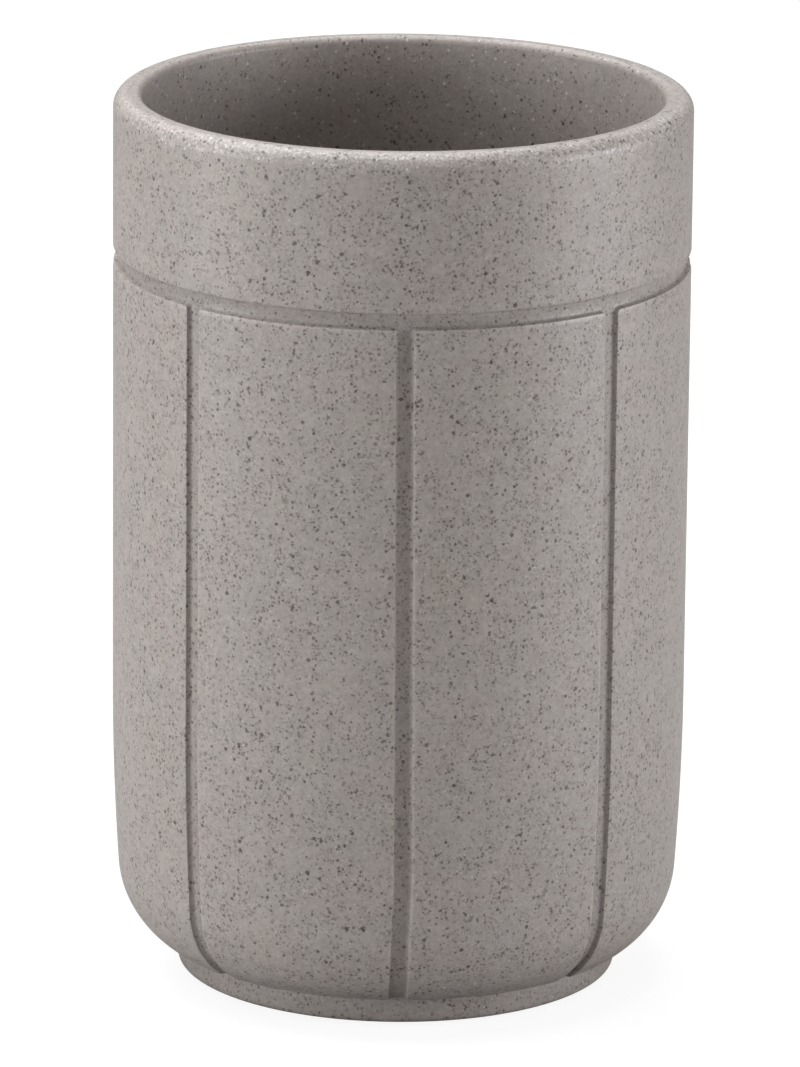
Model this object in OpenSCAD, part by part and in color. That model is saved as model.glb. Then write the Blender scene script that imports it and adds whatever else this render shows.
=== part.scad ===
// Bathroom tumbler, cast in one piece in a speckled stone material.
// A plain rim band sits above a ring groove. Below it upright grooves part the wall into
// panels, which draw in gently, turn a rounded lower corner and stop in a lip over a round foot.
// Millimetres. The origin is on the axis, on the surface that the tumbler stands on, with +Z up.
// One upright groove faces -Y.

/* [Body] */
// Outside diameter of the rim band and of the panels
body_d = 75; // [71:0.5:80]
// Height of the casting, from the underside of its foot to the top of its rim
body_h = 117; // [106:0.5:130]
// Thickness of the wall at the rim
rim_wall = 3.7; // [3.4:0.1:5]
// Rounding of the rim's outer edge
rim_outer_round = 2; // [0.8:0.1:2.2]
// Rounding of the rim's inner edge
rim_inner_round = 1; // [0.4:0.1:1.1]

/* [Inside] */
// Thickness of the floor, from the underside of the foot to the inside bottom
floor_t = 7.5; // [6.5:0.1:10]
// Slope of the inner wall, in degrees from upright
inner_draft = 0.6; // [0.2:0.1:1]
// Radius of the inside bottom corner
inner_corner_r = 9; // [6:0.5:12]

/* [Grooves] */
// Width of the ring groove and of the upright grooves
groove_w = 2.1; // [1.4:0.1:3]
// Depth of the upright grooves below the outer surface
groove_depth = 0.85; // [0.5:0.05:1.2]
// How much deeper the ring groove is than the upright grooves
ring_deeper = 0.05; // [0.05:0.05:0.3]
// Width of the slope that eases the ring groove's edges
ring_ease = 0.3; // [0.1:0.05:0.4]
// Height of the plain rim band above the ring groove
band_h = 20.2; // [14:0.2:28]
// Number of upright grooves
groove_count = 8; // [4:1:12]

/* [Lower curve] */
// Height of the stretch where the wall draws in
taper_h = 24; // [14:0.5:36]
// How far the wall draws in over that stretch, on the radius
taper_in = 0.8; // [0.3:0.1:1.6]
// Radius of the rounded lower corner
corner_r = 12.3; // [10:0.1:15]
// How far the panels' lower lip stands out over the foot, on the radius
lip_over = 2; // [1.2:0.1:2.8]

/* [Foot] */
// How far the round foot stands back from the upright wall, on the radius
foot_inset = 8.7; // [7.5:0.1:10.5]
// Height of the foot below the panels' lip
foot_h = 3.9; // [3:0.1:5]
// Rounding of the foot's lower edge
foot_round = 0.8; // [0.3:0.1:1.2]
// Width of the flat ring under the foot, which holds the pads
foot_land_w = 11.5; // [10.5:0.1:14]
// Depth of the round recess inside that ring
recess_depth = 1.2; // [0.6:0.1:2]
// Rounding of the recess's inner corner
recess_round = 0.5; // [0.2:0.1:0.6]

/* [Pads] */
// Diameter of a non-slip pad
pad_d = 7; // [5:0.1:8]
// Thickness of a pad
pad_t = 1.6; // [1.2:0.1:2.2]
// How far the pads stand out below the foot
pad_stand = 0.6; // [0.4:0.05:0.9]
// Rounding of a pad's lower edge
pad_round = 0.3; // [0.1:0.05:0.35]
// Gap between a pad and the side of its pocket
pad_clear = 0.15; // [0.05:0.05:0.3]

/* [Hidden] */
// Number of pads, and the angle of the first from +X
pad_count = 4;
first_pad_angle = 45;
// Overrun of every cut past the surface that it opens
over = 1;
// Steps in a full turn, and in a full turn of the wide draw-in arc
$fn = 160;
wide_steps = 720;

body_r = body_d / 2;
foot_r = body_r - foot_inset;
lip_r = foot_r + lip_over;
mouth_r = body_r - rim_wall;

// Draw-in arc: upright at its top, and taper_in nearer the axis at its foot
taper_angle = 2 * atan(taper_in / taper_h);
taper_r = taper_h / sin(taper_angle);
// Lower corner arc: it leaves the draw-in arc in one line and ends at the lip
corner_x = body_r - taper_in - corner_r * cos(taper_angle);
corner_z = foot_h + sqrt(pow(corner_r, 2) - pow(lip_r - corner_x, 2));
taper_x = body_r - taper_r;
taper_z = corner_z - corner_r * sin(taper_angle) + taper_h;

// Middle of the ring groove
ring_z = body_h - band_h - groove_w / 2;

// Inside bottom corner: its arc touches the floor and the sloped wall
draft_top_z = body_h - rim_inner_round;
inner_corner_z = floor_t + inner_corner_r;
inner_corner_x = mouth_r - (draft_top_z - inner_corner_z) * tan(inner_draft)
    - inner_corner_r / cos(inner_draft);
inner_touch = [inner_corner_x + inner_corner_r * cos(inner_draft),
    inner_corner_z - inner_corner_r * sin(inner_draft)];

recess_r = foot_r - foot_land_w;
// The pads sit in the middle of the flat ring, between the recess and the rounded edge
pad_ring_r = (recess_r + foot_r - foot_round) / 2;
pocket_depth = pad_t - pad_stand;

stone = [0.62, 0.6, 0.57];
pad_grey = [0.25, 0.25, 0.26];

// Corner to take off a square edge so that a rounding of radius r stays.
// The edge is at the origin, with the kept material below and to the left of it.
module edge_waste(r) {
    translate([-r, -r])
        difference() {
            square(r + over);
            circle(r);
        }
}

// Half section of the wall's form, filled to the axis, at a depth below the outer surface.
// From the top it is the upright wall, the draw-in arc and the lower corner's arc.
module wall_section(depth) {
    join_z = corner_z - (corner_r - depth) * sin(taper_angle);
    translate([0, taper_z])
        square([body_r - depth, body_h - taper_z]);
    intersection() {
        translate([taper_x, taper_z])
            circle(taper_r - depth, $fn = wide_steps);
        translate([0, join_z])
            square([body_r, taper_z - join_z]);
    }
    intersection() {
        union() {
            translate([corner_x, corner_z])
                circle(corner_r - depth);
            square([corner_x, body_h]);
        }
        square([body_r, join_z]);
    }
}

// Section of the ring groove. The outer surface is at x = 0 with the material at x below 0.
// The slopes that ease its edges carry on past the surface.
module ring_groove_section() {
    half_floor = groove_w / 2;
    half_mouth = half_floor + 2 * ring_ease;
    polygon([
        [-groove_depth - ring_deeper, -half_floor],
        [-ring_ease, -half_floor],
        [ring_ease, -half_mouth],
        [over, -half_mouth],
        [over, half_mouth],
        [ring_ease, half_mouth],
        [-ring_ease, half_floor],
        [-groove_depth - ring_deeper, half_floor]
    ]);
}

// Half section of the body above the foot, filled to the axis
module shell_section() {
    difference() {
        intersection() {
            wall_section(0);
            translate([0, foot_h])
                square([body_d, body_h]);
        }
        translate([body_r, body_h])
            edge_waste(rim_outer_round);
        translate([body_r, ring_z])
            ring_groove_section();
    }
}

// One upright groove on the +X side. Its floor keeps one depth below the wall, from the ring
// groove down and round the lower corner, until it runs out over the foot.
module upright_groove() {
    rotate([90, 0, 0])
        linear_extrude(groove_w, center = true)
            difference() {
                square([body_r + over, ring_z]);
                wall_section(groove_depth);
            }
}

// Half section of the foot, which runs up into the body
module foot_section() {
    difference() {
        square([foot_r, foot_h + over]);
        mirror([0, 1])
            translate([foot_r, 0])
                edge_waste(foot_round);
        translate([0, -over])
            square([recess_r, over + recess_depth - recess_round]);
        translate([0, -over])
            square([recess_r - recess_round, over + recess_depth]);
        translate([recess_r - recess_round, recess_depth - recess_round])
            circle(recess_round);
    }
}

// Half section of the space inside the tumbler
module inside_section() {
    polygon([
        [0, inner_touch[1]],
        inner_touch,
        [mouth_r, draft_top_z],
        [mouth_r, body_h + over],
        [0, body_h + over]
    ]);
    translate([inner_corner_x, inner_corner_z])
        circle(inner_corner_r);
    translate([0, floor_t])
        square([inner_corner_x, inner_corner_r]);
    translate([mouth_r, body_h])
        mirror([1, 0])
            edge_waste(rim_inner_round);
}

module at_pad(i) {
    rotate([0, 0, first_pad_angle + i * 360 / pad_count])
        translate([pad_ring_r, 0, 0])
            children();
}

module tumbler_body() {
    color(stone)
        translate([0, 0, pad_stand])
            difference() {
                union() {
                    difference() {
                        rotate_extrude()
                            shell_section();
                        for (i = [0 : groove_count - 1])
                            rotate([0, 0, i * 360 / groove_count - 90])
                                upright_groove();
                    }
                    rotate_extrude()
                        foot_section();
                }
                rotate_extrude()
                    inside_section();
                for (i = [0 : pad_count - 1])
                    at_pad(i)
                        translate([0, 0, -over])
                            cylinder(d = pad_d + 2 * pad_clear, h = over + pocket_depth);
            }
}

// Pad number i, pressed against the top of its pocket
module foot_pad(i) {
    color(pad_grey)
        at_pad(i)
            rotate_extrude()
                difference() {
                    square([pad_d / 2, pad_t]);
                    mirror([0, 1])
                        translate([pad_d / 2, 0])
                            edge_waste(pad_round);
                }
}

tumbler_body();
foot_pad(0);  // back_right_pad
foot_pad(1);  // back_left_pad
foot_pad(2);  // front_left_pad
foot_pad(3);  // front_right_pad
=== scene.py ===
import math

import bmesh
import bpy
import numpy as np
from mathutils import Matrix, Vector
from mathutils.geometry import delaunay_2d_cdt


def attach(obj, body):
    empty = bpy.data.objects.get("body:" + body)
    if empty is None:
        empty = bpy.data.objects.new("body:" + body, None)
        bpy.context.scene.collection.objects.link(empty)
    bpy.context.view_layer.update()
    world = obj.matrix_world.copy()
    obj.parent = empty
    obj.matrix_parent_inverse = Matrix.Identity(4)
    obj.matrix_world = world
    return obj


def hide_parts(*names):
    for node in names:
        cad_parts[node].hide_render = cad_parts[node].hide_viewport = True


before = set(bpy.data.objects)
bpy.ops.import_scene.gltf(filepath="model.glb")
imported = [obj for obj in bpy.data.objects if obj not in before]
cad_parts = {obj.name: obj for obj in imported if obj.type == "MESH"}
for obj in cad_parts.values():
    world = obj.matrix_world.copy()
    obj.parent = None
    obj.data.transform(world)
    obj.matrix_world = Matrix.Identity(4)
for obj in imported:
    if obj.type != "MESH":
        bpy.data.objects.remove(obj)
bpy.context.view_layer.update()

# Lengths are millimetres here, as in the CAD source, and become metres with MM.
MM = 0.001

# Body, as in the CAD source
BODY_R = 37.5
BODY_H = 117.0
RIM_WALL = 3.7
RIM_OUTER_ROUND = 2.0
RIM_INNER_ROUND = 1.0
FLOOR_T = 7.5
INNER_DRAFT = math.radians(0.6)
INNER_CORNER_R = 9.0
GROOVE_COUNT = 8
TAPER_H = 24.0
TAPER_IN = 0.8
CORNER_R = 12.3
LIP_OVER = 2.0
FOOT_R = 28.8
FOOT_H = 3.9
FOOT_ROUND = 0.8
RECESS_R = 17.3
RECESS_DEPTH = 1.2
RECESS_ROUND = 0.5
PAD_D = 7.0
PAD_T = 1.6
PAD_STAND = 0.6
PAD_CLEAR = 0.15
PAD_RING_R = (RECESS_R + FOOT_R - FOOT_ROUND) / 2
PAD_ANGLES = (45, 135, 225, 315)

# Grooves, measured closer in the photo than in the CAD source: the band's height down to the ring
# groove, the width of the ring groove and that of the upright ones, across their lips
BAND_H = 20.13
RING_W = 2.24
GROOVE_W = 2.38

# Section of a groove as the photo's close view shows it: the panel falls away in a soft shoulder,
# turns a small lip at the groove's edge, and a steep side runs into a hollow corner
GROOVE_DEPTH = 0.70
SHOULDER_W = 0.60
SHOULDER_DROP = 0.07
BAND_SHOULDER_W = 0.15
LIP_ROUND = 0.07
SIDE_ANGLE = math.radians(80)
FLOOR_FILLET = 0.45
PANEL_CORNER_R = 0.40

# The casting's upright grooves wander a little to one side. The front one is measured in the photo:
# its shift in mm at these heights, and how much of that each groove takes, from the front one on.
WANDER_HEIGHTS = (4.0, 12.0, 21.0, 95.0)
WANDER_SHIFTS = (-0.18, 0.03, 0.37, 0.0)
WANDER_SHARES = (1.0, 0.0, -0.5, 0.4, 0.6, -0.4, 0.5, 0.0)
# Measured too: each groove's own place to one side of an even eighth, in mm, and its width's factor
GROOVE_SHIFTS = (0.0, -0.18, 0.0, 0.0, 0.0, 0.0, 0.0, -0.52)
GROOVE_WIDTHS = (1.05, 1.0, 1.0, 1.0, 1.0, 1.0, 1.0, 0.97)
# The ring groove leans forward: how much lower it lies at the front, and how far that reaches
RING_LEAN = 0.20
RING_LEAN_REACH = 14.0

# Derived places in the profile
MOUTH_R = BODY_R - RIM_WALL
TAPER_ANGLE = 2 * math.atan(TAPER_IN / TAPER_H)
TAPER_R = TAPER_H / math.sin(TAPER_ANGLE)
CORNER_X = BODY_R - TAPER_IN - CORNER_R * math.cos(TAPER_ANGLE)
CORNER_Z = FOOT_H + math.sqrt(CORNER_R**2 - (FOOT_R + LIP_OVER - CORNER_X) ** 2)
TAPER_X = BODY_R - TAPER_R
TAPER_Z = CORNER_Z - CORNER_R * math.sin(TAPER_ANGLE) + TAPER_H
CORNER_TOP_Z = TAPER_Z - TAPER_H
RING_TOP_Z = BODY_H - BAND_H
RING_LOW_Z = RING_TOP_Z - RING_W
DRAFT_TOP_Z = BODY_H - RIM_INNER_ROUND
INNER_CORNER_Z = FLOOR_T + INNER_CORNER_R
INNER_CORNER_X = (
    MOUTH_R
    - (DRAFT_TOP_Z - INNER_CORNER_Z) * math.tan(INNER_DRAFT)
    - INNER_CORNER_R / math.cos(INNER_DRAFT)
)

# Derived places in a groove's section, as distances from the panel's edge into the groove
SHOULDER_ANGLE = math.atan(2 * SHOULDER_DROP / SHOULDER_W)
LIP_RUN = LIP_ROUND * (math.sin(SIDE_ANGLE) - math.sin(SHOULDER_ANGLE))
LIP_DROP = LIP_ROUND * (math.cos(SHOULDER_ANGLE) - math.cos(SIDE_ANGLE))
HOLLOW_RUN = FLOOR_FILLET * math.sin(SIDE_ANGLE)
HOLLOW_DROP = FLOOR_FILLET * (1 - math.cos(SIDE_ANGLE))
SIDE_DROP = GROOVE_DEPTH - SHOULDER_DROP - LIP_DROP - HOLLOW_DROP
SIDE_END = LIP_RUN + SIDE_DROP / math.tan(SIDE_ANGLE)
FLOOR_START = SIDE_END + HOLLOW_RUN

# Burst air bubbles in the casting: azimuth in degrees, height, radius and depth. The first eleven
# are placed from the photo, and the rest are on the sides that it doesn't show.
PINHOLES = (
    (-72.41, 58.90, 0.32, 0.40),
    (-123.24, 38.27, 0.34, 0.26),
    (-124.85, 17.82, 0.30, 0.26),
    (-100.52, 15.21, 0.33, 0.42),
    (-97.21, 15.33, 0.34, 0.42),
    (-108.44, 22.41, 0.30, 0.40),
    (-105.97, 21.75, 0.28, 0.34),
    (-108.99, 101.47, 0.31, 0.34),
    (-74.42, 101.78, 0.27, 0.38),
    (-80.81, 83.25, 0.27, 0.34),
    (-79.62, 82.57, 0.28, 0.36),
    (-31.0, 38.30, 0.28, 0.30),
    (-12.5, 83.25, 0.30, 0.34),
    (21.0, 22.40, 0.26, 0.32),
    (58.0, 58.90, 0.33, 0.40),
    (77.0, 38.30, 0.25, 0.28),
    (118.0, 101.50, 0.30, 0.34),
    (149.0, 22.00, 0.28, 0.32),
    (168.0, 58.90, 0.26, 0.30),
)
# How far a pinhole's outline strays from a circle, its number of lobes and their turn per mm of height
PIN_STRAY = 0.20
PIN_LOBES = 3
PIN_TURN = 0.82

# Mesh steps along the profile, from the middle of the inside bottom to the middle of the recess
BOTTOM_STEPS = 8
INNER_CORNER_STEPS = 12
DRAFT_STEPS = 33
RIM_INNER_STEPS = 8
RIM_OUTER_STEPS = 12
BAND_STEPS = 8
WALL_STEPS = 29
DRAW_IN_STEPS = 14
CORNER_STEPS = 36
LIP_SHARES = (0.35, 0.7, 1.0)
FOOT_STEPS = 4
FOOT_ROUND_STEPS = 8
RECESS_SIDE = (0.0, 0.35, RECESS_DEPTH - RECESS_ROUND)
RECESS_ROUND_STEPS = 6
RECESS_STEPS = 6
# Steps across a groove: shares of the shoulder's width, steps of the lip and of the hollow corner,
# and shares of the flat floor's half width
SHOULDER_SHARES = (1.0, 0.8, 0.6, 0.4, 0.2)
LIP_STEPS = 2
HOLLOW_STEPS = 4
FLOOR_SHARES = (0.6, 0.3)
# Distance from a groove to the last fine row or column, and to the first coarse row
FINE_MARGIN = 0.95
COARSE_MARGIN = 1.2
# Steps round the axis from groove to groove, and round a pad's pocket
PANEL_STEPS = 32
POCKET_STEPS = 64
# Extra rows and columns at a pinhole: their reach in radii, and how many there are in a radius
PIN_REACH = 1.4
PIN_STEPS = 4
# Least distance between two rows in mm, and between two columns as a share of the panel
ROW_GAP = 0.035
COLUMN_GAP = 0.0015
# Edges that turn by more than this stay crisp
SHARP_ANGLE = math.radians(28)
# Tolerances in mm for the flat ring under the foot
RING_WELD = 1e-7
POCKET_SLACK = 1e-3


def spaced(steps, start, end):
    """Evenly spaced values from start to end, both ends included."""
    return np.linspace(start, end, steps + 1)


def edge_offsets(shoulder_w=SHOULDER_W):
    """Distances inside a panel's edge at which the groove's section is sampled, outermost first."""
    shoulder = shoulder_w * np.array(SHOULDER_SHARES)
    turn = spaced(LIP_STEPS, SHOULDER_ANGLE, SIDE_ANGLE)
    lip = LIP_ROUND * (np.sin(turn) - math.sin(SHOULDER_ANGLE))
    hollow = FLOOR_START - FLOOR_FILLET * np.sin(spaced(HOLLOW_STEPS, SIDE_ANGLE, 0))
    return np.concatenate([shoulder, -lip, -hollow])


def groove_depth(x, shoulder_w=SHOULDER_W):
    """Depth below the outer surface at distance x inside a panel's edge. In the groove x is below 0."""
    into = -np.asarray(x, float)
    shoulder = SHOULDER_DROP * np.clip(1 + into / shoulder_w, 0, 1) ** 2
    turn = np.clip(into, 0, LIP_RUN) + LIP_ROUND * math.sin(SHOULDER_ANGLE)
    lip = LIP_ROUND * math.cos(SHOULDER_ANGLE) - np.sqrt(LIP_ROUND**2 - turn**2)
    side = np.clip(into - LIP_RUN, 0, SIDE_END - LIP_RUN) * math.tan(SIDE_ANGLE)
    left = np.clip(FLOOR_START - into, 0, HOLLOW_RUN)
    hollow = FLOOR_FILLET - np.sqrt(FLOOR_FILLET**2 - left**2)
    return np.where(into < SIDE_END, shoulder + lip + side, GROOVE_DEPTH - hollow)


def inner_rows():
    """Profile points from the middle of the inside bottom over the rim to its outer edge."""
    rows = [(r, FLOOR_T) for r in spaced(BOTTOM_STEPS, 0, INNER_CORNER_X)]
    rows += [
        (INNER_CORNER_X + INNER_CORNER_R * math.sin(a), INNER_CORNER_Z - INNER_CORNER_R * math.cos(a))
        for a in spaced(INNER_CORNER_STEPS, 0, math.pi / 2 - INNER_DRAFT)[1:]
    ]
    low_r, low_z = rows[-1]
    rows += [
        (low_r + (MOUTH_R - low_r) * t, low_z + (DRAFT_TOP_Z - low_z) * t)
        for t in spaced(DRAFT_STEPS, 0, 1)[1:]
    ]
    rows += [
        (MOUTH_R + RIM_INNER_ROUND * (1 - math.cos(a)), DRAFT_TOP_Z + RIM_INNER_ROUND * math.sin(a))
        for a in spaced(RIM_INNER_STEPS, 0, math.pi / 2)[1:]
    ]
    top_r = BODY_R - RIM_OUTER_ROUND
    rows.append(((MOUTH_R + RIM_INNER_ROUND + top_r) / 2, BODY_H))
    rows += [
        (top_r + RIM_OUTER_ROUND * math.sin(a), BODY_H - RIM_OUTER_ROUND * (1 - math.cos(a)))
        for a in spaced(RIM_OUTER_STEPS, 0, math.pi / 2)
    ]
    return rows


def recess_rows():
    """Profile points of the recess under the foot, from its edge to its middle."""
    rows = [(RECESS_R, z) for z in RECESS_SIDE]
    rows += [
        (RECESS_R - RECESS_ROUND * (1 - math.cos(a)), RECESS_DEPTH - RECESS_ROUND * (1 - math.sin(a)))
        for a in spaced(RECESS_ROUND_STEPS, 0, math.pi / 2)[1:]
    ]
    rows += [(r, RECESS_DEPTH) for r in spaced(RECESS_STEPS, RECESS_R - RECESS_ROUND, 0)[1:]]
    return rows


def around(centre, radius):
    """Extra sample places around a pinhole of this radius."""
    step = radius / PIN_STEPS
    return centre + np.arange(-PIN_REACH * radius, PIN_REACH * radius + step / 2, step)


def merged(values, extra, gap):
    """Sorted values with the extra ones in, where no two are closer than gap. The given values stay."""
    out = sorted(values)
    low, high = out[0], out[-1]
    for e in sorted(extra):
        if low < e < high and min(abs(e - v) for v in out) > gap:
            out.append(e)
    return np.array(sorted(out))


def wall_heights():
    """Heights of the rows on the upright wall, from under the rim rounding down to the draw-in."""
    band = spaced(BAND_STEPS, BODY_H - RIM_OUTER_ROUND, RING_TOP_Z + COARSE_MARGIN)[1:]
    ring = np.concatenate(
        [
            [RING_TOP_Z + FINE_MARGIN],
            RING_TOP_Z + edge_offsets(BAND_SHOULDER_W),
            [RING_TOP_Z - RING_W / 2],
            (RING_LOW_Z - edge_offsets())[::-1],
            [RING_LOW_Z - FINE_MARGIN],
        ]
    )
    wall = spaced(WALL_STEPS, RING_LOW_Z - COARSE_MARGIN, TAPER_Z)
    pits = [e for _, z, r, _ in PINHOLES if z > TAPER_Z for e in around(z, r)]
    return merged(np.concatenate([band, ring, wall]), pits, ROW_GAP)[::-1]


def draw_in_turns():
    """Angles of the rows on the arc by which the wall draws in."""
    pits = [
        e
        for _, z, r, _ in PINHOLES
        if z < TAPER_Z
        for e in around(math.asin((TAPER_Z - z) / TAPER_R), r / TAPER_R)
    ]
    return merged(spaced(DRAW_IN_STEPS, 0, TAPER_ANGLE), pits, ROW_GAP / TAPER_R)[1:]


def wander(groove, share, height):
    """Shift in mm to one side at a groove, and at a share of the way from it to the next one."""
    swing = np.interp(height, WANDER_HEIGHTS, WANDER_SHIFTS)
    shift = swing * np.array(WANDER_SHARES) + np.array(GROOVE_SHIFTS)
    first = np.take(shift, groove)
    second = np.take(shift, groove + 1, mode="wrap")
    return first + share * (second - first)


def column_plan():
    """Columns of one turn, as arrays: groove number, distance from the groove's middle in mm, and share
    of the way to the next groove. Near a groove the distance is kept, and over the panel the share."""
    edge = GROOVE_W / 2 + edge_offsets()
    floor = [share * edge[-1] for share in FLOOR_SHARES]
    near = np.concatenate([[GROOVE_W / 2 + FINE_MARGIN], edge, floor, [0.0]])
    near = np.unique(np.concatenate([near, -near]).round(6))
    reach = near[-1]
    sector = 360 / GROOVE_COUNT
    reach_deg = math.degrees(math.asin(reach / BODY_R))
    panel = sector - 2 * reach_deg
    plan = []
    for k in range(GROOVE_COUNT):
        middle = -90 + k * sector
        plan += [(k, t, 0.0) for t in near]
        extra = []
        for az, height, radius, _ in PINHOLES:
            turn = (az - middle) % 360
            if reach_deg < turn < sector - reach_deg:
                turn -= math.degrees(wander(k, turn / sector, height) / BODY_R)
                extra += list(around((turn - reach_deg) / panel, math.degrees(radius / BODY_R) / panel))
        shares = merged(spaced(PANEL_STEPS, 0, 1), extra, COLUMN_GAP)[1:-1]
        plan += [(k, reach, s) for s in shares]
    groove, offset, share = zip(*plan)
    return np.array(groove), np.array(offset), np.array(share)


def pit_depth(az, radius, height):
    """Depth of the pinholes at these points of the outer wall."""
    depth = np.zeros_like(az)
    for pin_az, pin_z, pin_r, pin_d in PINHOLES:
        turn = (az - math.radians(pin_az) + math.pi) % (2 * math.pi) - math.pi
        along, up = turn * radius, height - pin_z
        stray = 1 + PIN_STRAY * np.sin(PIN_LOBES * np.arctan2(up, along) + PIN_TURN * pin_z)
        d = np.hypot(along, up) / (pin_r * stray)
        bowl = np.sqrt(np.clip(1 - d**2, 0, 1))
        depth = np.maximum(depth, pin_d * bowl)
    return depth


class BodyGrid:
    """Points of the casting from the inside bottom to the foot's lower edge, as rows of columns."""

    def __init__(self):
        self.groove, self.offset, self.share = column_plan()
        self.rows = []
        top_az = self.azimuths(BODY_R, BODY_R, BODY_H)
        for r, z in inner_rows():
            self.add(r, z, top_az)
        self.add_wall()
        cut = self.cut(TAPER_Z)
        self.add_draw_in(cut)
        self.add_corner(cut)
        self.foot_az = self.azimuths(FOOT_R, FOOT_R, FOOT_H)
        self.add_foot()

    def azimuths(self, radius, row_radius, height):
        """Azimuth of each column in radians. radius is each point's own, row_radius the row's outer."""
        sector = 2 * math.pi / GROOVE_COUNT
        width = np.take(GROOVE_WIDTHS, self.groove)
        next_width = np.take(GROOVE_WIDTHS, self.groove + 1, mode="wrap")
        near = np.arcsin(self.offset * width / radius)
        first = np.arcsin(self.offset * width / row_radius)
        last = np.arcsin(self.offset * next_width / row_radius)
        turn = np.where(self.share > 0, first + self.share * (sector - first - last), near)
        aside = wander(self.groove, self.share, height) / row_radius
        return -math.pi / 2 + self.groove * sector + turn + aside

    def add(self, radius, height, az):
        height = np.broadcast_to(height + PAD_STAND, az.shape)
        self.rows.append(np.stack([radius * np.cos(az), radius * np.sin(az), height], axis=-1))

    def cut(self, height):
        """Depth of each column at a height on the wall, without the pinholes."""
        if height > RING_TOP_Z - RING_W / 2:
            return groove_depth(height - RING_TOP_Z, BAND_SHOULDER_W)
        beside = np.where(self.share > 0, GROOVE_W, np.abs(self.offset) - GROOVE_W / 2)
        below = RING_LOW_Z - height
        near_side = np.maximum(PANEL_CORNER_R - beside, 0)
        near_top = max(PANEL_CORNER_R - below, 0)
        rounded = PANEL_CORNER_R - np.hypot(near_side, near_top)
        inner = (near_side == 0) & (near_top == 0)
        return groove_depth(np.where(inner, np.minimum(beside, below), rounded))

    def add_wall(self):
        """The upright wall with the rim band, the ring groove and the panels."""
        for z in wall_heights():
            cut = self.cut(z)
            az = self.azimuths(BODY_R - cut, BODY_R, z)
            away = abs(z - RING_TOP_Z + RING_W / 2) / RING_LEAN_REACH
            lean = RING_LEAN * (1 + math.cos(math.pi * min(away, 1.0))) / 2
            self.add(BODY_R - cut - pit_depth(az, BODY_R, z), z + lean * np.sin(az), az)

    def add_draw_in(self, cut):
        """The gentle arc by which the wall draws in."""
        for a in draw_in_turns():
            r = TAPER_X + (TAPER_R - cut) * math.cos(a)
            z = TAPER_Z - (TAPER_R - cut) * math.sin(a)
            outer = TAPER_X + TAPER_R * math.cos(a)
            az = self.azimuths(r, outer, TAPER_Z - TAPER_R * math.sin(a))
            self.add(r - pit_depth(az, outer, z), z, az)

    def add_corner(self, cut):
        """The rounded lower corner and the underside of its lip over the foot."""
        end = np.arcsin((CORNER_Z - FOOT_H) / (CORNER_R - cut))
        outer_end = math.asin((CORNER_Z - FOOT_H) / CORNER_R)
        for u in spaced(CORNER_STEPS, 0, 1)[1:]:
            a = TAPER_ANGLE + u * (end - TAPER_ANGLE)
            r = CORNER_X + (CORNER_R - cut) * np.cos(a)
            z = CORNER_Z - (CORNER_R - cut) * np.sin(a)
            turn = TAPER_ANGLE + u * (outer_end - TAPER_ANGLE)
            outer = CORNER_X + CORNER_R * math.cos(turn)
            az = self.azimuths(r, outer, CORNER_Z - CORNER_R * math.sin(turn))
            pit = pit_depth(az, outer, z)
            self.add(r - pit * np.cos(a), z + pit * np.sin(a), az)
        lip_end = CORNER_X + (CORNER_R - cut) * np.cos(end)
        for u in LIP_SHARES:
            r = lip_end + u * (FOOT_R - lip_end)
            self.add(r, FOOT_H, self.azimuths(r, FOOT_R + LIP_OVER - u * LIP_OVER, FOOT_H))

    def add_foot(self):
        """The foot's upright side and its rounded lower edge."""
        for z in spaced(FOOT_STEPS, FOOT_H, FOOT_ROUND)[1:]:
            self.add(FOOT_R, z, self.foot_az)
        for a in spaced(FOOT_ROUND_STEPS, 0, math.pi / 2)[1:]:
            r = FOOT_R - FOOT_ROUND * (1 - math.cos(a))
            self.add(r, FOOT_ROUND * (1 - math.sin(a)), self.foot_az)


class MeshParts:
    """Vertices and faces of one mesh while it is put together."""

    def __init__(self):
        self.points = []
        self.faces = []

    def add(self, points):
        first = len(self.points)
        self.points += [tuple(float(c) for c in p) for p in points]
        return list(range(first, first + len(points)))

    def band(self, upper, lower):
        """Faces between two rings of as many points, seen from outside with upper above lower."""
        n = len(upper)
        for j in range(n):
            k = (j + 1) % n
            self.faces.append((upper[j], lower[j], lower[k], upper[k]))

    def fan(self, ring, middle, outward):
        n = len(ring)
        for j in range(n):
            k = (j + 1) % n
            self.faces.append((ring[j], ring[k], middle) if outward else (ring[k], ring[j], middle))


def pad_centres():
    """Places of the four pads on the ring under the foot."""
    turns = [math.radians(a) for a in PAD_ANGLES]
    return [(PAD_RING_R * math.cos(a), PAD_RING_R * math.sin(a)) for a in turns]


def circle_points(x, y, radius, height, steps):
    turn = [2 * math.pi * i / steps for i in range(steps)]
    return [(x + radius * math.cos(a), y + radius * math.sin(a), height) for a in turn]


def add_recess(parts, azimuths):
    """The recess under the foot. Returns the ring of points at its edge."""
    rings = [
        parts.add([(r * math.cos(a), r * math.sin(a), z + PAD_STAND) for a in azimuths])
        for r, z in recess_rows()[:-1]
    ]
    for upper, lower in zip(rings, rings[1:]):
        parts.band(upper, lower)
    end = parts.add([(0.0, 0.0, RECESS_DEPTH + PAD_STAND)])[0]
    parts.fan(rings[-1], end, False)
    return rings[0]


def add_pockets(parts):
    """The pockets for the pads. Returns the rings of points at their mouths."""
    mouths = []
    for x, y in pad_centres():
        radius = PAD_D / 2 + PAD_CLEAR
        mouth = parts.add(circle_points(x, y, radius, PAD_STAND, POCKET_STEPS))
        roof = parts.add(circle_points(x, y, radius, PAD_T, POCKET_STEPS))
        centre = parts.add([(x, y, PAD_T)])[0]
        parts.band(mouth, roof)
        parts.fan(roof, centre, False)
        mouths.append(mouth)
    return mouths


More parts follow.
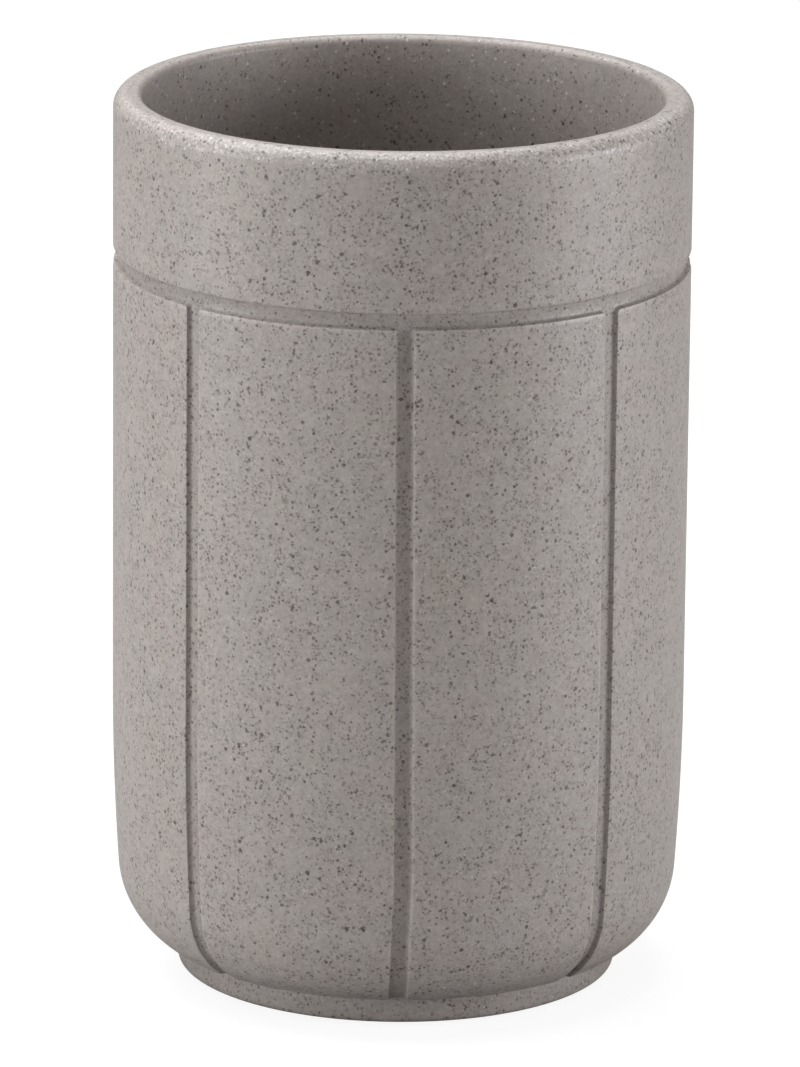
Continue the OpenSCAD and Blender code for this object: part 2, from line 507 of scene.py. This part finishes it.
def add_foot_ring(parts, outer, inner, pockets):
    """The flat ring under the foot, between its rounded edge, the recess and the pad pockets."""
    rings = [outer, inner] + pockets
    index = [i for ring in rings for i in ring]
    flat = [Vector(parts.points[i][:2]) for i in index]
    edges, start = [], 0
    for ring in rings:
        n = len(ring)
        edges += [(start + i, start + (i + 1) % n) for i in range(n)]
        start += n
    result = delaunay_2d_cdt(flat, edges, [], 0, RING_WELD)
    points, faces, origin = result[0], result[2], result[3]
    pocket_r = PAD_D / 2 + PAD_CLEAR - POCKET_SLACK
    for face in faces:
        centre = sum((points[i] for i in face), Vector((0, 0))) / len(face)
        on_ring = RECESS_R < centre.length < FOOT_R - FOOT_ROUND
        in_pocket = any((centre - Vector(p)).length < pocket_r for p in pad_centres())
        if on_ring and not in_pocket:
            parts.faces.append(tuple(index[origin[i][0]] for i in reversed(face)))


def mark_sharp(mesh):
    """Keeps the edges crisp where the surface turns by more than the sharp angle."""
    bm = bmesh.new()
    bm.from_mesh(mesh)
    for e in bm.edges:
        if len(e.link_faces) == 2 and e.calc_face_angle(0.0) > SHARP_ANGLE:
            e.smooth = False
    bm.to_mesh(mesh)
    bm.free()


def new_object(name, data):
    made = bpy.data.objects.new(name, data)
    bpy.context.scene.collection.objects.link(made)
    return made


def make_body():
    """The casting as one closed mesh."""
    grid = BodyGrid()
    parts = MeshParts()
    middle = parts.add([grid.rows[0][0]])[0]
    rings = [parts.add(row) for row in grid.rows[1:]]
    parts.fan(rings[0], middle, True)
    for upper, lower in zip(rings, rings[1:]):
        parts.band(upper, lower)
    recess = add_recess(parts, grid.foot_az)
    add_foot_ring(parts, rings[-1], recess, add_pockets(parts))
    mesh = bpy.data.meshes.new("stone_body_shell")
    mesh.from_pydata([tuple(c * MM for c in p) for p in parts.points], [], parts.faces)
    mesh.update()
    mesh.shade_smooth()
    mark_sharp(mesh)
    mesh.materials.append(stone_material())
    return new_object("stone_body_shell", mesh)


class Graph:
    """Short calls for building a node tree."""

    def __init__(self, tree):
        self.tree = tree
        tree.nodes.clear()

    def node(self, kind, **settings):
        n = self.tree.nodes.new(kind)
        for key, value in settings.items():
            setattr(n, key, value)
        return n

    def put(self, socket, value):
        if isinstance(value, bpy.types.NodeSocket):
            self.tree.links.new(value, socket)
        else:
            socket.default_value = value

    def math(self, operation, a, b=0.0):
        n = self.node("ShaderNodeMath", operation=operation)
        self.put(n.inputs[0], a)
        self.put(n.inputs[1], b)
        return n.outputs[0]

    def vector(self, operation, a, b=(0.0, 0.0, 0.0)):
        n = self.node("ShaderNodeVectorMath", operation=operation)
        self.put(n.inputs[0], a)
        self.put(n.inputs[3] if operation == "SCALE" else n.inputs[1], b)
        return n.outputs[0]

    def ramp(self, value, low, high, to_low=0.0, to_high=1.0, smooth=True):
        kind = "SMOOTHSTEP" if smooth else "LINEAR"
        n = self.node("ShaderNodeMapRange", interpolation_type=kind)
        for socket, v in zip(n.inputs, (value, low, high, to_low, to_high)):
            self.put(socket, v)
        return n.outputs[0]

    def between(self, value, rise, fall):
        """1 where value has passed the rise but not yet the fall, and 0 elsewhere."""
        return self.math("MULTIPLY", self.ramp(value, *rise), self.ramp(value, *fall, 1.0, 0.0))

    def mix(self, factor, a, b):
        n = self.node("ShaderNodeMix", data_type="RGBA")
        self.put(n.inputs[0], factor)
        self.put(n.inputs[6], a)
        self.put(n.inputs[7], b)
        return n.outputs[2]

    def noise_node(self, place, scale, detail=2.0, roughness=0.5):
        n = self.node("ShaderNodeTexNoise", noise_dimensions="3D")
        self.put(n.inputs["Vector"], place)
        self.put(n.inputs["Scale"], scale)
        self.put(n.inputs["Detail"], detail)
        self.put(n.inputs["Roughness"], roughness)
        return n

    def noise(self, *settings):
        return self.noise_node(*settings).outputs[0]

    def cells(self, place, size):
        """Distance in mm to the nearest random grain centre, and three random numbers of that grain."""
        n = self.node("ShaderNodeTexVoronoi", voronoi_dimensions="3D", feature="F1")
        self.put(n.inputs["Vector"], place)
        self.put(n.inputs["Scale"], 1 / size)
        split = self.node("ShaderNodeSeparateColor")
        self.put(split.inputs[0], n.outputs["Color"])
        return self.math("MULTIPLY", n.outputs["Distance"], size), split.outputs

    def shader(self, kind, **values):
        """A shader node. Its inputs are given by their names, with _ for a space."""
        n = self.node(kind)
        for name, value in values.items():
            self.put(n.inputs[name.replace("_", " ")], value)
        return n.outputs[0]

    def bump(self, height, strength, distance):
        return self.shader("ShaderNodeBump", Height=height, Strength=strength, Distance=distance)

    def to_camera(self, seen, other):
        """One shader as the camera sees it directly, and another for all other rays."""
        path = self.node("ShaderNodeLightPath")
        mix = self.node("ShaderNodeMixShader")
        for socket, value in zip(mix.inputs, (path.outputs["Is Camera Ray"], other, seen)):
            self.put(socket, value)
        return mix.outputs[0]

    def finish(self, shader, output="ShaderNodeOutputMaterial"):
        self.put(self.node(output).inputs["Surface"], shader)


def new_material(name):
    material = bpy.data.materials.new(name)
    material.use_nodes = True
    return material, Graph(material.node_tree)


def place_in_mm(g):
    """The object's own coordinates in millimetres."""
    coordinate = g.node("ShaderNodeTexCoord")
    return g.vector("SCALE", coordinate.outputs["Object"], 1 / MM)


def moved(g, place, i, step, start=(0.0, 0.0, 0.0)):
    """The place moved i times by step, so that each layer of a pattern has its own part of it."""
    return g.vector("ADD", place, tuple(s + i * t for s, t in zip(start, step)))


# Stone. Patterns have a scale per mm, and these are ranges in which most of a noise lies.
NOISE_TIGHT = (0.35, 0.65)
NOISE_MIDDLE = (0.30, 0.70)
NOISE_WIDE = (0.25, 0.75)
FINE_DETAIL = 3.0
# Colour of the stone, and the factors by which it drifts: warm to cool and pink to green
STONE = (0.364, 0.3255, 0.3045)
DRIFTS = (
    (0.12, (1.011, 1.000, 0.989), (0.989, 1.000, 1.011)),
    (0.20, (1.005, 0.993, 1.005), (0.995, 1.007, 0.995)),
)
DRIFT_STEP = (11.7, 83.1, 37.9)
# Clouding of the stone: scale of the pattern, and how much it lightens or darkens
CLOUDS = ((0.50, 0.06), (1.40, 0.11), (3.20, 0.11))
CLOUD_ROUGHNESS = 0.6
# Grain layers: cell size, smallest and largest grain radius, share of cells with a grain, softness
# of its edge and strength, all lengths in mm. The second pale layer shows on rim and inside only.
DARK_GRAINS = (
    (0.46, 0.10, 0.18, 0.80, 0.10, 0.60),
    (0.56, 0.12, 0.22, 0.62, 0.08, 0.96),
    (0.95, 0.16, 0.29, 0.22, 0.07, 1.00),
)
PALE_GRAINS = (
    (0.50, 0.05, 0.13, 0.45, 0.04, 0.50),
    (0.62, 0.10, 0.22, 0.00, 0.05, 0.80),
)
DARK_STEP = (17.3, 5.1, 9.7)
PALE_START = (31.7, 43.1, 27.9)
PALE_STEP = (13.9, 0.0, 0.0)
GRAIN_BROWN = (0.104, 0.074, 0.060, 1.0)
GRAIN_GREY = (0.083, 0.073, 0.064, 1.0)
GRAIN_PALE = (0.66, 0.64, 0.62, 1.0)
# The grains' outlines waver: scale of that pattern, and how far it moves them in mm
WAVER_SCALE = 4.0
WAVER = 0.34
# The faintest grains of a layer have this share of its strength, and the fading takes at least this
# share of the cells
FAINT = 0.45
FADE_SHARE = 0.5
# How unevenly the grains are spread: scale of the pattern, and the least and most share
CROWDS = ((0.45, 0.00, 2.10), (1.40, -0.20, 2.20))
CROWD_STEP = (61.3, 7.9, 23.1)
# Share of the dark grains that show on the inside, and of cells with a pale grain added there
INSIDE_SHARE = 0.24
INSIDE_GRAINS = 0.12
# Share of cells with a pale grain that is added on the rim's outer rounding as painted glints, for each
# layer
RIM_GLINT_GRAINS = (0.20, 0.55)
# The inside begins at these distances beyond the mouth's radius and below the inside bottom
INSIDE_BEYOND = (0.2, 0.7)
INSIDE_BELOW = (1.0, 0.5)
# The rim's rounding, with its worn chips and painted glints, begins at these distances from the outer
# radius and from the top, along an edge that is ragged with this scale and reach
RIM_WITHIN = (2.2, 1.4)
RIM_UNDER = (2.2, 1.2)
RAGGED_SCALE = 0.9
RAGGED = 0.7
# Chipped patches on the rim: pattern, the range of it that is worn, colour and how much shows. The
# pale colour is partly worn stone and partly painted glints of light on the rounding
CHIP_SCALE = 2.8
CHIP_ROUGHNESS = 0.65
CHIP_WORN_GLINT = (0.51, 0.59)
WORN_GLINT_COLOUR = (0.60, 0.58, 0.56, 1.0)
WORN_GLINT_SHARE = 0.50
# In the grooves the stone is darkened with painted shade, and along their lips lightened with a
# painted highlight. Both by depth under the skin: where the tone begins and where it ends again
GROOVE_PAINTED_SHADE = 0.88
GROOVE_SHADE_ZONE = ((0.35, 0.65), (1.5, 2.0))
# Painted highlight: the stone is made paler along the groove lips
LIP_PAINTED_HIGHLIGHT = 1.10
LIP_HIGHLIGHT_ZONE = ((0.015, 0.06), (0.12, 0.24))
# The foot is darkened with painted shade, as under the lip's overhang, and the shade fades out at its
# top
FOOT_PAINTED_SHADE = 0.86
FOOT_TOP = FOOT_H + PAD_STAND
FOOT_SHADE_FADE = 0.4
# Gloss of the stone: scale and range of its roughness, and how much smoother the pale grains are
GLOSS_SCALE = 2.0
GLOSS = (0.36, 0.44)
PALE_GLOSS = 0.15
STONE_SPECULAR = 0.5
# Relief of the stone: its grit, hollows of dark grains, raised pale grains, chips, strength, height
GRIT_SCALE = 5.0
GRIT_ROUGHNESS = 0.6
DARK_HOLLOW = 0.8
PALE_RISE = 0.4
CHIP_RISE = 2.5
STONE_BUMP = 0.35
STONE_BUMP_H = 0.03 * MM


def grain_mask(g, place, share, layer):
    """How much a layer of grains covers each point, and a random number of the grain."""
    size, low, high, full_share, soft, strength = layer
    distance, random = g.cells(place, size)
    radius = g.ramp(random[0], 0.0, 1.0, low, high, smooth=False)
    there = g.math("LESS_THAN", random[1], share)
    gap = g.math("SUBTRACT", distance, radius)
    cover = g.ramp(gap, -soft, soft, strength, 0.0)
    fade = g.ramp(random[1], 0.0, max(full_share, FADE_SHARE), 1.0, FAINT, smooth=False)
    cover = g.math("MULTIPLY", cover, fade)
    return g.math("MULTIPLY", cover, there), random[2]


def spread(g, place):
    """How crowded the grains are at each point, about 1 on average."""
    crowding = None
    for i, (scale, least, most) in enumerate(CROWDS):
        noise = g.noise(moved(g, place, i, CROWD_STEP), scale)
        level = g.ramp(noise, *NOISE_TIGHT, least, most, smooth=False)
        crowding = level if crowding is None else g.math("MULTIPLY", crowding, level)
    return crowding


def stone_zones(g, place):
    """Four values for each point: whether it is on the inside and whether on the rim's rounding, both
    from 0 to 1, its depth below the outer surface, and its height, both in mm."""
    axes = g.node("ShaderNodeSeparateXYZ")
    g.put(axes.inputs[0], place)
    across = g.vector("MULTIPLY", place, (1.0, 1.0, 0.0))
    length = g.node("ShaderNodeVectorMath", operation="LENGTH")
    g.put(length.inputs[0], across)
    radius, height = length.outputs["Value"], axes.outputs[2]
    top = BODY_H + PAD_STAND
    inside = g.math(
        "MULTIPLY",
        g.ramp(radius, *(MOUTH_R + d for d in INSIDE_BEYOND), 1.0, 0.0),
        g.ramp(height, *(FLOOR_T - d for d in INSIDE_BELOW)),
    )
    stray = g.ramp(g.noise(place, RAGGED_SCALE), *NOISE_MIDDLE, -RAGGED, RAGGED)
    rounding = g.math(
        "MULTIPLY",
        g.ramp(radius, *(BODY_R - d for d in RIM_WITHIN)),
        g.ramp(g.math("ADD", height, stray), *(top - d for d in RIM_UNDER)),
    )
    return inside, rounding, depth_below_skin(g, radius, height), height


def depth_below_skin(g, radius, height):
    """Depth in mm below the casting's outer surface, where it has no groove."""
    drop = g.math("MAXIMUM", g.math("SUBTRACT", TAPER_Z + PAD_STAND, height), 0.0)
    reach = g.math("SUBTRACT", TAPER_R**2, g.math("MULTIPLY", drop, drop))
    wall = g.math("SUBTRACT", g.math("ADD", g.math("SQRT", reach), TAPER_X), radius)
    across = g.math("POWER", g.math("SUBTRACT", radius, CORNER_X), 2.0)
    up = g.math("POWER", g.math("SUBTRACT", height, CORNER_Z + PAD_STAND), 2.0)
    corner = g.math("SUBTRACT", CORNER_R, g.math("SQRT", g.math("ADD", across, up)))
    low = g.math("LESS_THAN", height, CORNER_TOP_Z + PAD_STAND)
    depth = g.math("ADD", wall, g.math("MULTIPLY", low, g.math("SUBTRACT", corner, wall)))
    below_rim = g.math("LESS_THAN", height, BODY_H + PAD_STAND - RIM_OUTER_ROUND)
    return g.math("MULTIPLY", depth, below_rim)


def stone_ground(g, place, sunk, height):
    """Colour of the stone between its grains, by depth under the skin and height. It holds painted
    shade in the grooves and on the foot, and a painted highlight along the groove lips.
    """
    colour = STONE
    for i, (scale, one, other) in enumerate(DRIFTS):
        noise = g.noise(moved(g, place, i, DRIFT_STEP), scale, FINE_DETAIL)
        drift = g.mix(g.ramp(noise, *NOISE_TIGHT), one + (1.0,), other + (1.0,))
        colour = g.vector("MULTIPLY", colour, drift)
    for scale, amount in CLOUDS:
        cloud = g.noise(place, scale, 2.0, CLOUD_ROUGHNESS)
        tone = g.ramp(cloud, *NOISE_WIDE, 1 - amount, 1 + amount, smooth=False)
        colour = g.vector("SCALE", colour, tone)
    # Painted shade on the groove floors and a painted highlight along the groove lips
    for zone, tone in ((GROOVE_SHADE_ZONE, GROOVE_PAINTED_SHADE), (LIP_HIGHLIGHT_ZONE, LIP_PAINTED_HIGHLIGHT)):
        there = g.between(sunk, *zone)
        colour = g.vector("SCALE", colour, g.ramp(there, 0.0, 1.0, 1.0, tone, smooth=False))
    # Painted shade on the foot, fading out at its top
    return g.vector("SCALE", colour, g.ramp(height, FOOT_TOP - FOOT_SHADE_FADE, FOOT_TOP, FOOT_PAINTED_SHADE, 1.0))


def dark_grains(g, place, share, colour):
    """The colour with the dark grains over it, and where they are."""
    dark = None
    for i, layer in enumerate(DARK_GRAINS):
        at = moved(g, place, i, DARK_STEP)
        mask, random = grain_mask(g, at, g.math("MULTIPLY", share, layer[3]), layer)
        colour = g.mix(mask, colour, g.mix(random, GRAIN_BROWN, GRAIN_GREY))
        dark = mask if dark is None else g.math("MAXIMUM", dark, mask)
    return colour, dark


def pale_grains(g, place, crowding, rounding, inside, colour):
    """The colour with the pale grains over it, and where they are."""
    pale = None
    for i, (layer, extra) in enumerate(zip(PALE_GRAINS, RIM_GLINT_GRAINS)):
        at = moved(g, place, i, PALE_STEP, PALE_START)
        share = g.math("MULTIPLY", crowding, layer[3])
        # On the rim's rounding more pale grains are added as painted glints
        share = g.math("ADD", share, g.math("MULTIPLY", rounding, extra))
        share = g.math("ADD", share, g.math("MULTIPLY", inside, INSIDE_GRAINS))
        mask, _ = grain_mask(g, at, share, layer)
        colour = g.mix(mask, colour, GRAIN_PALE)
        pale = mask if pale is None else g.math("MAXIMUM", pale, mask)
    return colour, pale


def stone_material():
    material, g = new_material("cast_stone")
    place = place_in_mm(g)
    waver = g.noise_node(place, WAVER_SCALE).outputs["Color"]
    shift = g.vector("SCALE", g.vector("SUBTRACT", waver, (0.5,) * 3), WAVER)
    grain_place = g.vector("ADD", place, shift)
    crowding = spread(g, place)
    inside, rounding, sunk, height = stone_zones(g, place)

    colour = stone_ground(g, place, sunk, height)
    chips = g.noise(place, CHIP_SCALE, FINE_DETAIL, CHIP_ROUGHNESS)
    # Pale patches on the rim's rounding: worn chips and painted glints
    worn_and_glint = g.math("MULTIPLY", g.ramp(chips, *CHIP_WORN_GLINT), rounding)
    colour = g.mix(g.math("MULTIPLY", worn_and_glint, WORN_GLINT_SHARE), colour, WORN_GLINT_COLOUR)
    dark_share = g.math("MULTIPLY", crowding, g.ramp(inside, 0.0, 1.0, 1.0, INSIDE_SHARE))
    colour, dark = dark_grains(g, grain_place, dark_share, colour)
    colour, pale = pale_grains(g, grain_place, crowding, rounding, inside, colour)

    roughness = g.ramp(g.noise(place, GLOSS_SCALE, FINE_DETAIL), *NOISE_MIDDLE, *GLOSS)
    roughness = g.math("SUBTRACT", roughness, g.math("MULTIPLY", pale, PALE_GLOSS))
    relief = g.noise(place, GRIT_SCALE, FINE_DETAIL, GRIT_ROUGHNESS)
    relief = g.math("SUBTRACT", relief, g.math("MULTIPLY", dark, DARK_HOLLOW))
    relief = g.math("ADD", relief, g.math("MULTIPLY", pale, PALE_RISE))
    rim_chips = g.math("MULTIPLY", chips, rounding)
    relief = g.math("ADD", relief, g.math("MULTIPLY", rim_chips, CHIP_RISE))
    stone = g.shader(
        "ShaderNodeBsdfPrincipled",
        Base_Color=colour,
        Roughness=roughness,
        Specular_IOR_Level=STONE_SPECULAR,
        Normal=g.bump(relief, STONE_BUMP, STONE_BUMP_H),
    )
    g.finish(stone)
    return material


# Foam rubber of the pads: mottled ground, small open pores, and roughness that differs by pore
RUBBER = ((0.045, 0.045, 0.048, 1.0), (0.062, 0.062, 0.066, 1.0))
RUBBER_PORE = (0.020, 0.020, 0.022, 1.0)
MOTTLE_SCALE = 0.8
PORE_CELL = 0.22
PORE_EDGE = (0.03, 0.09)
RUBBER_ROUGHNESS = (0.75, 0.92)
RUBBER_SPECULAR = 0.3
RUBBER_BUMP = 0.6
RUBBER_BUMP_H = 0.05 * MM


def rubber_material():
    material, g = new_material("foam_rubber")
    place = place_in_mm(g)
    mottle = g.ramp(g.noise(place, MOTTLE_SCALE, FINE_DETAIL), *NOISE_MIDDLE)
    distance, random = g.cells(place, PORE_CELL)
    pore = g.ramp(distance, *PORE_EDGE)
    rubber = g.shader(
        "ShaderNodeBsdfPrincipled",
        Base_Color=g.mix(pore, RUBBER_PORE, g.mix(mottle, *RUBBER)),
        Roughness=g.ramp(random[0], 0.0, 1.0, *RUBBER_ROUGHNESS, smooth=False),
        Specular_IOR_Level=RUBBER_SPECULAR,
        Normal=g.bump(pore, RUBBER_BUMP, RUBBER_BUMP_H),
    )
    g.finish(rubber)
    return material


# Stage: how bright the floor is by itself to the camera, how much shadow shows on it, how much light
# it gives back, half its side in metres, and the little light that comes from all around
FLOOR_GLOW = 0.90
FLOOR_SHADE = (0.16, 0.16, 0.16, 1.0)
FLOOR_BOUNCE = (0.40, 0.40, 0.40, 1.0)
FLOOR_HALF = 6.0
WHITE = (1.0, 1.0, 1.0, 1.0)
WORLD_AMBIENT = 0.004


def floor_material():
    """Pale to the camera with a faint shadow, and a plain grey to the light that it gives back."""
    material, g = new_material("pale_floor")
    seen = g.node("ShaderNodeAddShader")
    g.put(seen.inputs[0], g.shader("ShaderNodeBsdfDiffuse", Color=FLOOR_SHADE))
    g.put(seen.inputs[1], g.shader("ShaderNodeEmission", Strength=FLOOR_GLOW))
    bounce = g.shader("ShaderNodeBsdfDiffuse", Color=FLOOR_BOUNCE)
    g.finish(g.to_camera(seen.outputs[0], bounce))
    return material


def make_floor():
    mesh = bpy.data.meshes.new("floor")
    corners = [(x * FLOOR_HALF, y * FLOOR_HALF, 0) for x, y in ((-1, -1), (1, -1), (1, 1), (-1, 1))]
    mesh.from_pydata(corners, [], [(0, 1, 2, 3)])
    mesh.materials.append(floor_material())
    floor = new_object("floor", mesh)


def make_world():
    world = bpy.data.worlds.new("studio")
    bpy.context.scene.world = world
    world.use_nodes = True
    g = Graph(world.node_tree)
    ambient = g.shader("ShaderNodeBackground", Color=WHITE, Strength=WORLD_AMBIENT)
    white = g.shader("ShaderNodeBackground", Color=WHITE, Strength=1.0)
    g.finish(g.to_camera(white, ambient), "ShaderNodeOutputWorld")


# Softboxes: azimuth from the camera's side towards +X and elevation in degrees, distance, width and
# height in metres, power in watts
SOFTBOXES = {
    "left_1": (-80, 6, 0.9, 0.25, 0.35, 2.05),
    "left_2": (-70, 6, 0.9, 0.25, 0.35, 1.80),
    "left_3": (-40, 6, 0.9, 0.25, 0.35, 1.08),
    "left_4": (-25, 6, 0.9, 0.25, 0.35, 0.86),
    "left_middle": (-80, 28, 0.9, 0.3, 0.3, 0.46),
    "left_high": (-90, 55, 0.9, 0.4, 0.4, 2.66),
    "left_behind": (-135, 55, 0.9, 0.4, 0.4, 2.71),
    "right_1": (90, 6, 0.9, 0.25, 0.35, 3.0),
    "right_2": (70, 6, 0.9, 0.25, 0.35, 3.25),
    "right_3": (55, 6, 0.9, 0.25, 0.35, 0.28),
    "top": (0, 88, 1.0, 0.5, 0.5, 4.88),
    "back_high": (180, 55, 0.9, 0.4, 0.4, 1.97),
    "back_middle": (180, 30, 0.9, 1.0, 0.3, 1.09),
}
LIGHT_AIM = Vector((0.0, 0.0, 0.06))
# The low lamps far out at the sides are a little cooler
SIDE_LAMP_FROM = 80
SIDE_LAMP_BELOW = 45
SIDE_LAMP_COLOUR = (0.985, 1.0, 1.02)


def add_softbox(name, azimuth, elevation, distance, width, height, power):
    data = bpy.data.lights.new("softbox_" + name, "AREA")
    data.shape = "RECTANGLE"
    data.size, data.size_y = width, height
    data.energy = power
    if abs(azimuth) >= SIDE_LAMP_FROM and elevation < SIDE_LAMP_BELOW:
        data.color = SIDE_LAMP_COLOUR
    lamp = new_object("softbox_" + name, data)
    a, e = math.radians(azimuth), math.radians(elevation)
    away = Vector((math.sin(a) * math.cos(e), -math.cos(a) * math.cos(e), math.sin(e)))
    lamp.location = LIGHT_AIM + away * distance
    lamp.rotation_mode = "QUATERNION"
    lamp.rotation_quaternion = away.to_track_quat("Z", "Y")
    lamp.visible_camera = False


# Camera, fitted to the photo: place in mm from the axis and the ground, turn round the axis, pan,
# tilt and roll in degrees, lens and sensor width in mm, and clipping in metres
CAMERA_BACK = 1105.24
CAMERA_UP = 361.16
CAMERA_TURN = -0.74
CAMERA_PAN = 0.003
CAMERA_TILT = -15.3165
CAMERA_ROLL = 0.5443
CAMERA_LENS = 295.6
CAMERA_SENSOR = 36.0
CAMERA_CLIP = (0.05, 50.0)


def make_camera():
    data = bpy.data.cameras.new("camera")
    data.sensor_fit = "AUTO"
    data.sensor_width = CAMERA_SENSOR
    data.lens = CAMERA_LENS
    data.clip_start, data.clip_end = CAMERA_CLIP
    camera = new_object("camera", data)
    pan, tilt, roll = (math.radians(a) for a in (CAMERA_PAN, CAMERA_TILT, CAMERA_ROLL))
    flat = math.cos(tilt)
    forward = Vector((math.sin(pan) * flat, math.cos(pan) * flat, math.sin(tilt)))
    right = Vector((math.cos(pan), -math.sin(pan), 0.0))
    up = right.cross(forward)
    x = right * math.cos(roll) + up * math.sin(roll)
    y = up * math.cos(roll) - right * math.sin(roll)
    turn = Matrix.Rotation(math.radians(CAMERA_TURN), 4, "Z")
    place = Matrix((x, y, -forward)).transposed().to_4x4()
    place.translation = Vector((0.0, -CAMERA_BACK * MM, CAMERA_UP * MM))
    camera.matrix_world = turn @ place
    bpy.context.scene.camera = camera


make_camera()
make_world()
make_floor()
for name, box in SOFTBOXES.items():
    add_softbox(name, *box)

body = make_body()
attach(body, "root")
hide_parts("tumbler_body")

rubber = rubber_material()
for node in ("front_left_pad", "front_right_pad", "back_right_pad", "back_left_pad"):
    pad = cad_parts[node]
    pad.data.materials.clear()
    pad.data.materials.append(rubber)

bpy.context.scene.view_settings.view_transform = "Standard"
